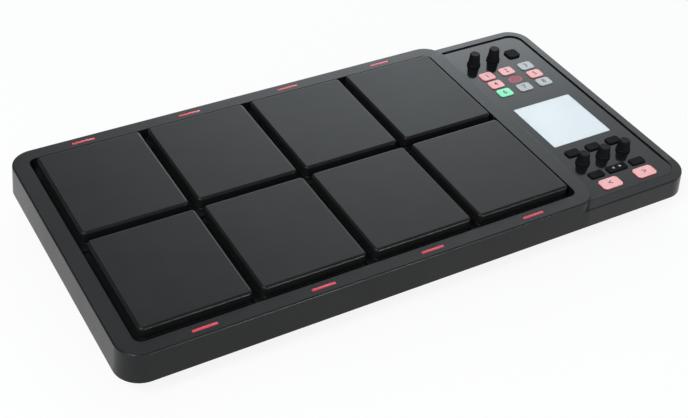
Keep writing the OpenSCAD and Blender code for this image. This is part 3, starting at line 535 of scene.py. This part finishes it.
def silicone(name, side_shade, dark, light):
    """Soft translucent silicone, slightly cloudy, with painted shade that makes it darker and deeper in
    colour down its sides.
    """
    finish = new_finish(name, light, SILICONE_ROUGHNESS, Subsurface_Weight=0.15, Subsurface_Scale=0.002)
    tint(finish, pattern(finish, "Noise", 220, Detail=4), dark, light)
    key_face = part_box("mode_button_1")[1].z
    # Painted shade: the sides darken towards the panel, below the top's bevel.
    deepen(finish, side_shade, key_face - KEY_SIDE_SHADE_DROP, key_face - KEY_BEVEL / 2)
    vary(finish, pattern(finish, "Noise", 120, Detail=3), "Roughness",
         SILICONE_ROUGHNESS - SILICONE_SPREAD, SILICONE_ROUGHNESS + SILICONE_SPREAD)
    relief(finish, pattern(finish, "Noise", 1800, Detail=2), depth=0.00002)
    return finish


def raised(shape, face, rise):
    """The face at the top of a block that is drawn up from a face."""
    made = bmesh.ops.extrude_face_region(shape, geom=[face])["geom"]
    bmesh.ops.translate(shape, vec=(0, 0, rise), verts=corners_in(made))
    return next(part for part in made if isinstance(part, bmesh.types.BMFace))


def key_cap(node, nip):
    """A cap with cut corners and a bevelled top edge, on its flange."""
    low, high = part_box(node)
    shape = bmesh.new()
    bmesh.ops.create_grid(shape, x_segments=1, y_segments=1, size=0.5)
    bmesh.ops.scale(shape, vec=(high.x - low.x, high.y - low.y, 1), verts=shape.verts)
    bmesh.ops.translate(shape, vec=((low.x + high.x) / 2, (low.y + high.y) / 2, low.z), verts=shape.verts)
    bmesh.ops.bevel(shape, geom=shape.verts[:], offset=nip, offset_type="OFFSET", affect="VERTICES",
                    segments=1, profile=0.5, material=-1)
    flange = raised(shape, shape.faces[:][0], KEY_FLANGE_T)
    bmesh.ops.inset_region(shape, faces=[flange], thickness=KEY_FLANGE_W, use_even_offset=True)
    raised(shape, flange, high.z - low.z - KEY_FLANGE_T)
    bmesh.ops.delete(shape, geom=[flange], context="FACES_ONLY")
    rim = [e for e in shape.edges if all(v.co.z > high.z - WELD_DISTANCE for v in e.verts)]
    bmesh.ops.bevel(shape, geom=rim, offset=KEY_BEVEL, offset_type="OFFSET", affect="EDGES", segments=1,
                    profile=0.5, material=-1)
    return shape


# The first colour of each key is the painted shade on its lower sides.
pink = silicone("silicone_pink", (0.5, 0.05, 0.07, 1), (0.92, 0.42, 0.43, 1), (0.98, 0.5, 0.51, 1))
mint = silicone("silicone_green", (0.02, 0.3, 0.14, 1), (0.24, 0.88, 0.52, 1), (0.3, 0.96, 0.6, 1))
pale = silicone("silicone_grey", (0.2, 0.22, 0.23, 1), (0.42, 0.46, 0.47, 1), (0.5, 0.54, 0.55, 1))
black_cap = moulded_black("black_cap", roughness=0.45, grain_depth=0.00003, gleam=0.02)
finishes = {"key_pink": pink, "key_mint": mint, "key_grey": pale, "key_black": black_cap}
for part in frame["record"]["subparts"]:
    slot = part["material_slot"]
    if slot not in finishes:
        continue
    node = part["node"]
    cap = closed(key_cap(node, KEY_NIPS.get(node.split("_")[0], PLAIN_NIP)))
    weigh_normals(add_piece(f"{node}_cap", cap, finishes[slot], slot, node, node))
coat(nylon, "key_switches")

# Print: plain numbers and arrows in dark ink on the coloured keys, pale arrows on the black ones, and a
# red ellipse among the mode keys. The ink is a thin screen-printed layer.
MODE_NUMBERS = range(1, 9)
INK_T = 0.00003
INK_SPREAD = 0.008
NUMBER_H = 0.0078
KIT_ARROW_H = 0.0085
PAGE_ARROW_H = 0.005
RING_SPAN = Vector((0.0068, 0.0046, 1))
RING_LINE = 0.0006
RING_SIDES = 48
ink_dark = new_finish("ink_dark", (0.025, 0.02, 0.022, 1), 0.5)
vary(ink_dark, pattern(ink_dark, "Noise", 900, Detail=3), "Roughness", 0.42, 0.58)
ink_pale = new_finish("ink_pale", (0.7, 0.71, 0.72, 1), 0.5)
vary(ink_pale, pattern(ink_pale, "Noise", 900, Detail=3), "Roughness", 0.42, 0.58)
ink_red = new_finish("ink_red", (0.6, 0.06, 0.09, 1), 0.45)
vary(ink_red, pattern(ink_red, "Noise", 900, Detail=3), "Roughness", 0.4, 0.55)
ink_maroon = new_finish("ink_maroon", (0.25, 0.025, 0.045, 1), 0.45)
tint(ink_maroon, pattern(ink_maroon, "Noise", 700, Detail=3), (0.2, 0.02, 0.035, 1), (0.32, 0.03, 0.055, 1))


def printed(name, words, height, place, finish, slot, body):
    """Plain signs printed flat on a face, with their middle at place."""
    curve = bpy.data.curves.new(name, "FONT")
    curve.body = words
    curve.size = height
    curve.align_x = "CENTER"
    curve.align_y = "CENTER"
    curve.extrude = INK_T
    curve.offset = height * INK_SPREAD
    sign = bpy.data.objects.new(f"{name}_outline", curve)
    bpy.context.scene.collection.objects.link(sign)
    bpy.context.view_layer.update()
    mesh = bpy.data.meshes.new_from_object(sign.evaluated_get(bpy.context.evaluated_depsgraph_get()))
    bpy.data.objects.remove(sign)
    shape = bmesh.new()
    shape.from_mesh(mesh)
    bpy.data.meshes.remove(mesh)
    bmesh.ops.remove_doubles(shape, verts=shape.verts, dist=WELD_DISTANCE)
    bmesh.ops.translate(shape, vec=place, verts=shape.verts)
    add_piece(name, closed(shape), finish, slot, body)


def key_top(node):
    """The middle of a key's top face."""
    low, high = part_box(node)
    return Vector(((low.x + high.x) / 2, (low.y + high.y) / 2, high.z + INK_T))


for number in MODE_NUMBERS:
    node = f"mode_button_{number}"
    printed(f"mode_number_{number}", str(number), NUMBER_H, key_top(node), ink_dark, "key_black", node)
for node, arrow in (("kit_button_down", "<"), ("kit_button_up", ">")):
    printed(f"{node}_arrow", arrow, KIT_ARROW_H, key_top(node), ink_dark, "key_black", node)
printed("page_arrows", "<   >", PAGE_ARROW_H, key_top("page_button"), ink_pale, "display_white",
        "page_button")
column = key_top("page_button").x
row = key_top("mode_button_4").y
panel_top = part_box("lcd_window")[1].z
ring = bmesh.new()
section = [ring.verts.new((1 + across * RING_LINE / RING_SPAN.x, 0, up * INK_T))
           for across, up in ((-1, 0), (1, 0), (1, 2), (-1, 2))]
edges = [ring.edges.new((a, b)) for a, b in zip(section, section[1:] + section[:1])]
bmesh.ops.spin(ring, geom=section + edges, cent=(0, 0, 0), axis=(0, 0, 1), angle=2 * pi,
               steps=RING_SIDES, use_merge=True)
bmesh.ops.scale(ring, vec=RING_SPAN, verts=ring.verts)
bmesh.ops.translate(ring, vec=(column, row, panel_top), verts=ring.verts)
add_piece("mode_ring", closed(ring), ink_red, "lamp_red", "case")
badge = bmesh.new()
bmesh.ops.create_cone(badge, cap_ends=True, segments=RING_SIDES, radius1=1, radius2=1, depth=INK_T)
bmesh.ops.scale(badge, vec=RING_SPAN, verts=badge.verts)
bmesh.ops.translate(badge, vec=(column, row, panel_top + INK_T / 2), verts=badge.verts)
add_piece("mode_badge", closed(badge), ink_maroon, "lamp_red", "case")

# Knobs: satin black moulded caps with a skirt and a fluted grip, pushed on the flatted steel shafts of the
# level controls and the setting encoders.
knob_black = moulded_black("knob_black", roughness=0.45, grain_depth=0.00002, gleam=0.06)
control_grey = new_finish("control_grey", (0.1, 0.1, 0.105, 1), 0.45)
tint(control_grey, pattern(control_grey, "Noise", 500, Detail=4),
     (0.08, 0.08, 0.085, 1), (0.13, 0.13, 0.135, 1))
welded("rotary_controls", "control_bodies", control_grey, "socket_plastic", "case")
for kind, count in (("level", 2), ("setting", 3)):
    for number in range(1, count + 1):
        body = f"{kind}_knob_{number}"
        welded(body, f"{kind}_cap_{number}", knob_black, "knob_black", body)
        welded(f"{kind}_shaft_{number}", f"{kind}_spindle_{number}", zinc, "plate_steel", body)

# Studio: a wide white floor in a pale room with a bright window low behind the right end, dark places
# behind the left end and overhead, a softbox at the left, and a low strip lamp in front for the edges.
FLOOR_HALF = 6
FLOOR_GLOW_SHARE = 0.88
FLOOR_IN_GLOSS = 0.86
WINDOW_TOWARDS = Vector((0.5255, 0.779, 0.342))
ROOM_STRENGTH = 5.0
ROOM_TINT = Vector((0.92, 0.985, 1.02))
ROOM_LEVELS = ((0.86, 0.16), (0.9, 0.175), (0.94, 0.235), (0.965, 0.4), (0.985, 0.85), (1.0, 1.0))
DARK_PLACES = ((Vector((-0.414, 0.747, 0.517)), (0.8, 1.0), (0.87, 0.08)),
               (Vector((0.42, -0.25, 0.873)), (0.84, 1.0), (0.92, 0.25)))
SOFTBOX_PLACE = (-1.14, -0.66, 1.5)
SOFTBOX_SIZE = 0.6
SOFTBOX_WATTS = 19
STRIP_PLACE = (0.55, -1.53, 0.12)
STRIP_LENGTH = 0.8
STRIP_WIDTH = 0.06
STRIP_WATTS = 15
scene = bpy.context.scene
floor_shape = bmesh.new()
bmesh.ops.create_grid(floor_shape, x_segments=1, y_segments=1, size=FLOOR_HALF)
floor_mesh = bpy.data.meshes.new("floor")
floor_shape.to_mesh(floor_mesh)
floor_shape.free()
floor = bpy.data.objects.new("floor", floor_mesh)
scene.collection.objects.link(floor)
floor_white = new_finish("floor_white", (0.9, 0.9, 0.9, 1), 0.9, Specular_IOR_Level=0.0)
tree = floor_white.node_tree
rays = tree.nodes.new("ShaderNodeLightPath")
seen = tree.nodes.new("ShaderNodeMath")
seen.operation = "MAXIMUM"
tree.links.new(rays.outputs["Is Camera Ray"], seen.inputs[0])
tree.links.new(rays.outputs["Is Glossy Ray"], seen.inputs[1])
seen_through = tree.nodes.new("ShaderNodeMath")
seen_through.operation = "MAXIMUM"
tree.links.new(seen.outputs[0], seen_through.inputs[0])
tree.links.new(rays.outputs["Is Transmission Ray"], seen_through.inputs[1])
share = tree.nodes.new("ShaderNodeMath")
share.operation = "MULTIPLY"
share.inputs[1].default_value = FLOOR_GLOW_SHARE
tree.links.new(seen_through.outputs[0], share.inputs[0])
glow = tree.nodes.new("ShaderNodeEmission")
glow_level = tree.nodes.new("ShaderNodeMapRange")
glow_level.inputs["To Min"].default_value = 1.0
glow_level.inputs["To Max"].default_value = FLOOR_IN_GLOSS
tree.links.new(rays.outputs["Is Glossy Ray"], glow_level.inputs["Value"])
tree.links.new(glow_level.outputs["Result"], glow.inputs["Strength"])
both = tree.nodes.new("ShaderNodeMixShader")
tree.links.new(share.outputs[0], both.inputs["Fac"])
tree.links.new(tree.nodes["Principled BSDF"].outputs["BSDF"], both.inputs[1])
tree.links.new(glow.outputs["Emission"], both.inputs[2])
tree.links.new(both.outputs["Shader"], tree.nodes["Material Output"].inputs["Surface"])
floor_mesh.materials.append(floor_white)

room = bpy.data.worlds.new("room")
room.use_nodes = True
tree = room.node_tree
place = tree.nodes.new("ShaderNodeTexCoord")
towards = tree.nodes.new("ShaderNodeVectorMath")
towards.operation = "DOT_PRODUCT"
towards.inputs[1].default_value = WINDOW_TOWARDS
fall = tree.nodes.new("ShaderNodeValToRGB")
stops = fall.color_ramp.elements
while len(stops) < len(ROOM_LEVELS):
    stops.new(0.5)
for stop, (position, level) in zip(stops, ROOM_LEVELS):
    stop.position = position
    stop.color = (*(level * ROOM_TINT), 1)
tree.links.new(place.outputs["Generated"], towards.inputs[0])
tree.links.new(towards.outputs["Value"], fall.inputs["Fac"])
light = fall.outputs["Color"]
for centre, *levels in DARK_PLACES:
    away = tree.nodes.new("ShaderNodeVectorMath")
    away.operation = "DOT_PRODUCT"
    away.inputs[1].default_value = centre
    fade = tree.nodes.new("ShaderNodeValToRGB")
    for stop, (position, level) in zip(fade.color_ramp.elements, levels):
        stop.position = position
        stop.color = (level, level, level, 1)
    shaded = tree.nodes.new("ShaderNodeVectorMath")
    shaded.operation = "MULTIPLY"
    tree.links.new(place.outputs["Generated"], away.inputs[0])
    tree.links.new(away.outputs["Value"], fade.inputs["Fac"])
    tree.links.new(light, shaded.inputs[0])
    tree.links.new(fade.outputs["Color"], shaded.inputs[1])
    light = shaded.outputs["Vector"]
tree.links.new(light, tree.nodes["Background"].inputs["Color"])
tree.nodes["Background"].inputs["Strength"].default_value = ROOM_STRENGTH
scene.world = room

softbox = bpy.data.lights.new("softbox", "AREA")
softbox.size = SOFTBOX_SIZE
softbox.energy = SOFTBOX_WATTS
lamp = bpy.data.objects.new("softbox", softbox)
lamp.location = SOFTBOX_PLACE
lamp.rotation_euler = lamp.location.to_track_quat("Z", "Y").to_euler()
scene.collection.objects.link(lamp)
strip = bpy.data.lights.new("strip", "AREA")
strip.shape = "RECTANGLE"
strip.size = STRIP_LENGTH
strip.size_y = STRIP_WIDTH
strip.energy = STRIP_WATTS
lamp = bpy.data.objects.new("strip", strip)
lamp.location = STRIP_PLACE
lamp.rotation_euler = (radians(90), 0, 0)
lamp.visible_diffuse = False
lamp.visible_camera = False
scene.collection.objects.link(lamp)

# Camera: it stands where the photograph was taken from, in front of the left end and above, and is
# slightly rolled. Its directions to the right and up give its turn.
CAMERA_LENS = 64.97
CAMERA_SENSOR = 36
CAMERA_NEAR = 0.05
CAMERA_FAR = 50
CAMERA_PLACE = Vector((-0.4633, -0.7175, 0.6956))
CAMERA_RIGHT = Vector((0.8688, -0.4915, 0.0599))
CAMERA_UP = Vector((0.2735, 0.5773, 0.7695))
lens = bpy.data.cameras.new("camera")
lens.lens = CAMERA_LENS
lens.sensor_width = CAMERA_SENSOR
lens.clip_start = CAMERA_NEAR
lens.clip_end = CAMERA_FAR
camera = bpy.data.objects.new("camera", lens)
turn = Matrix((CAMERA_RIGHT, CAMERA_UP, CAMERA_RIGHT.cross(CAMERA_UP))).transposed()
camera.matrix_world = Matrix.Translation(CAMERA_PLACE) @ turn.to_4x4()
scene.collection.objects.link(camera)
scene.camera = camera
scene.view_settings.view_transform = "Standard"
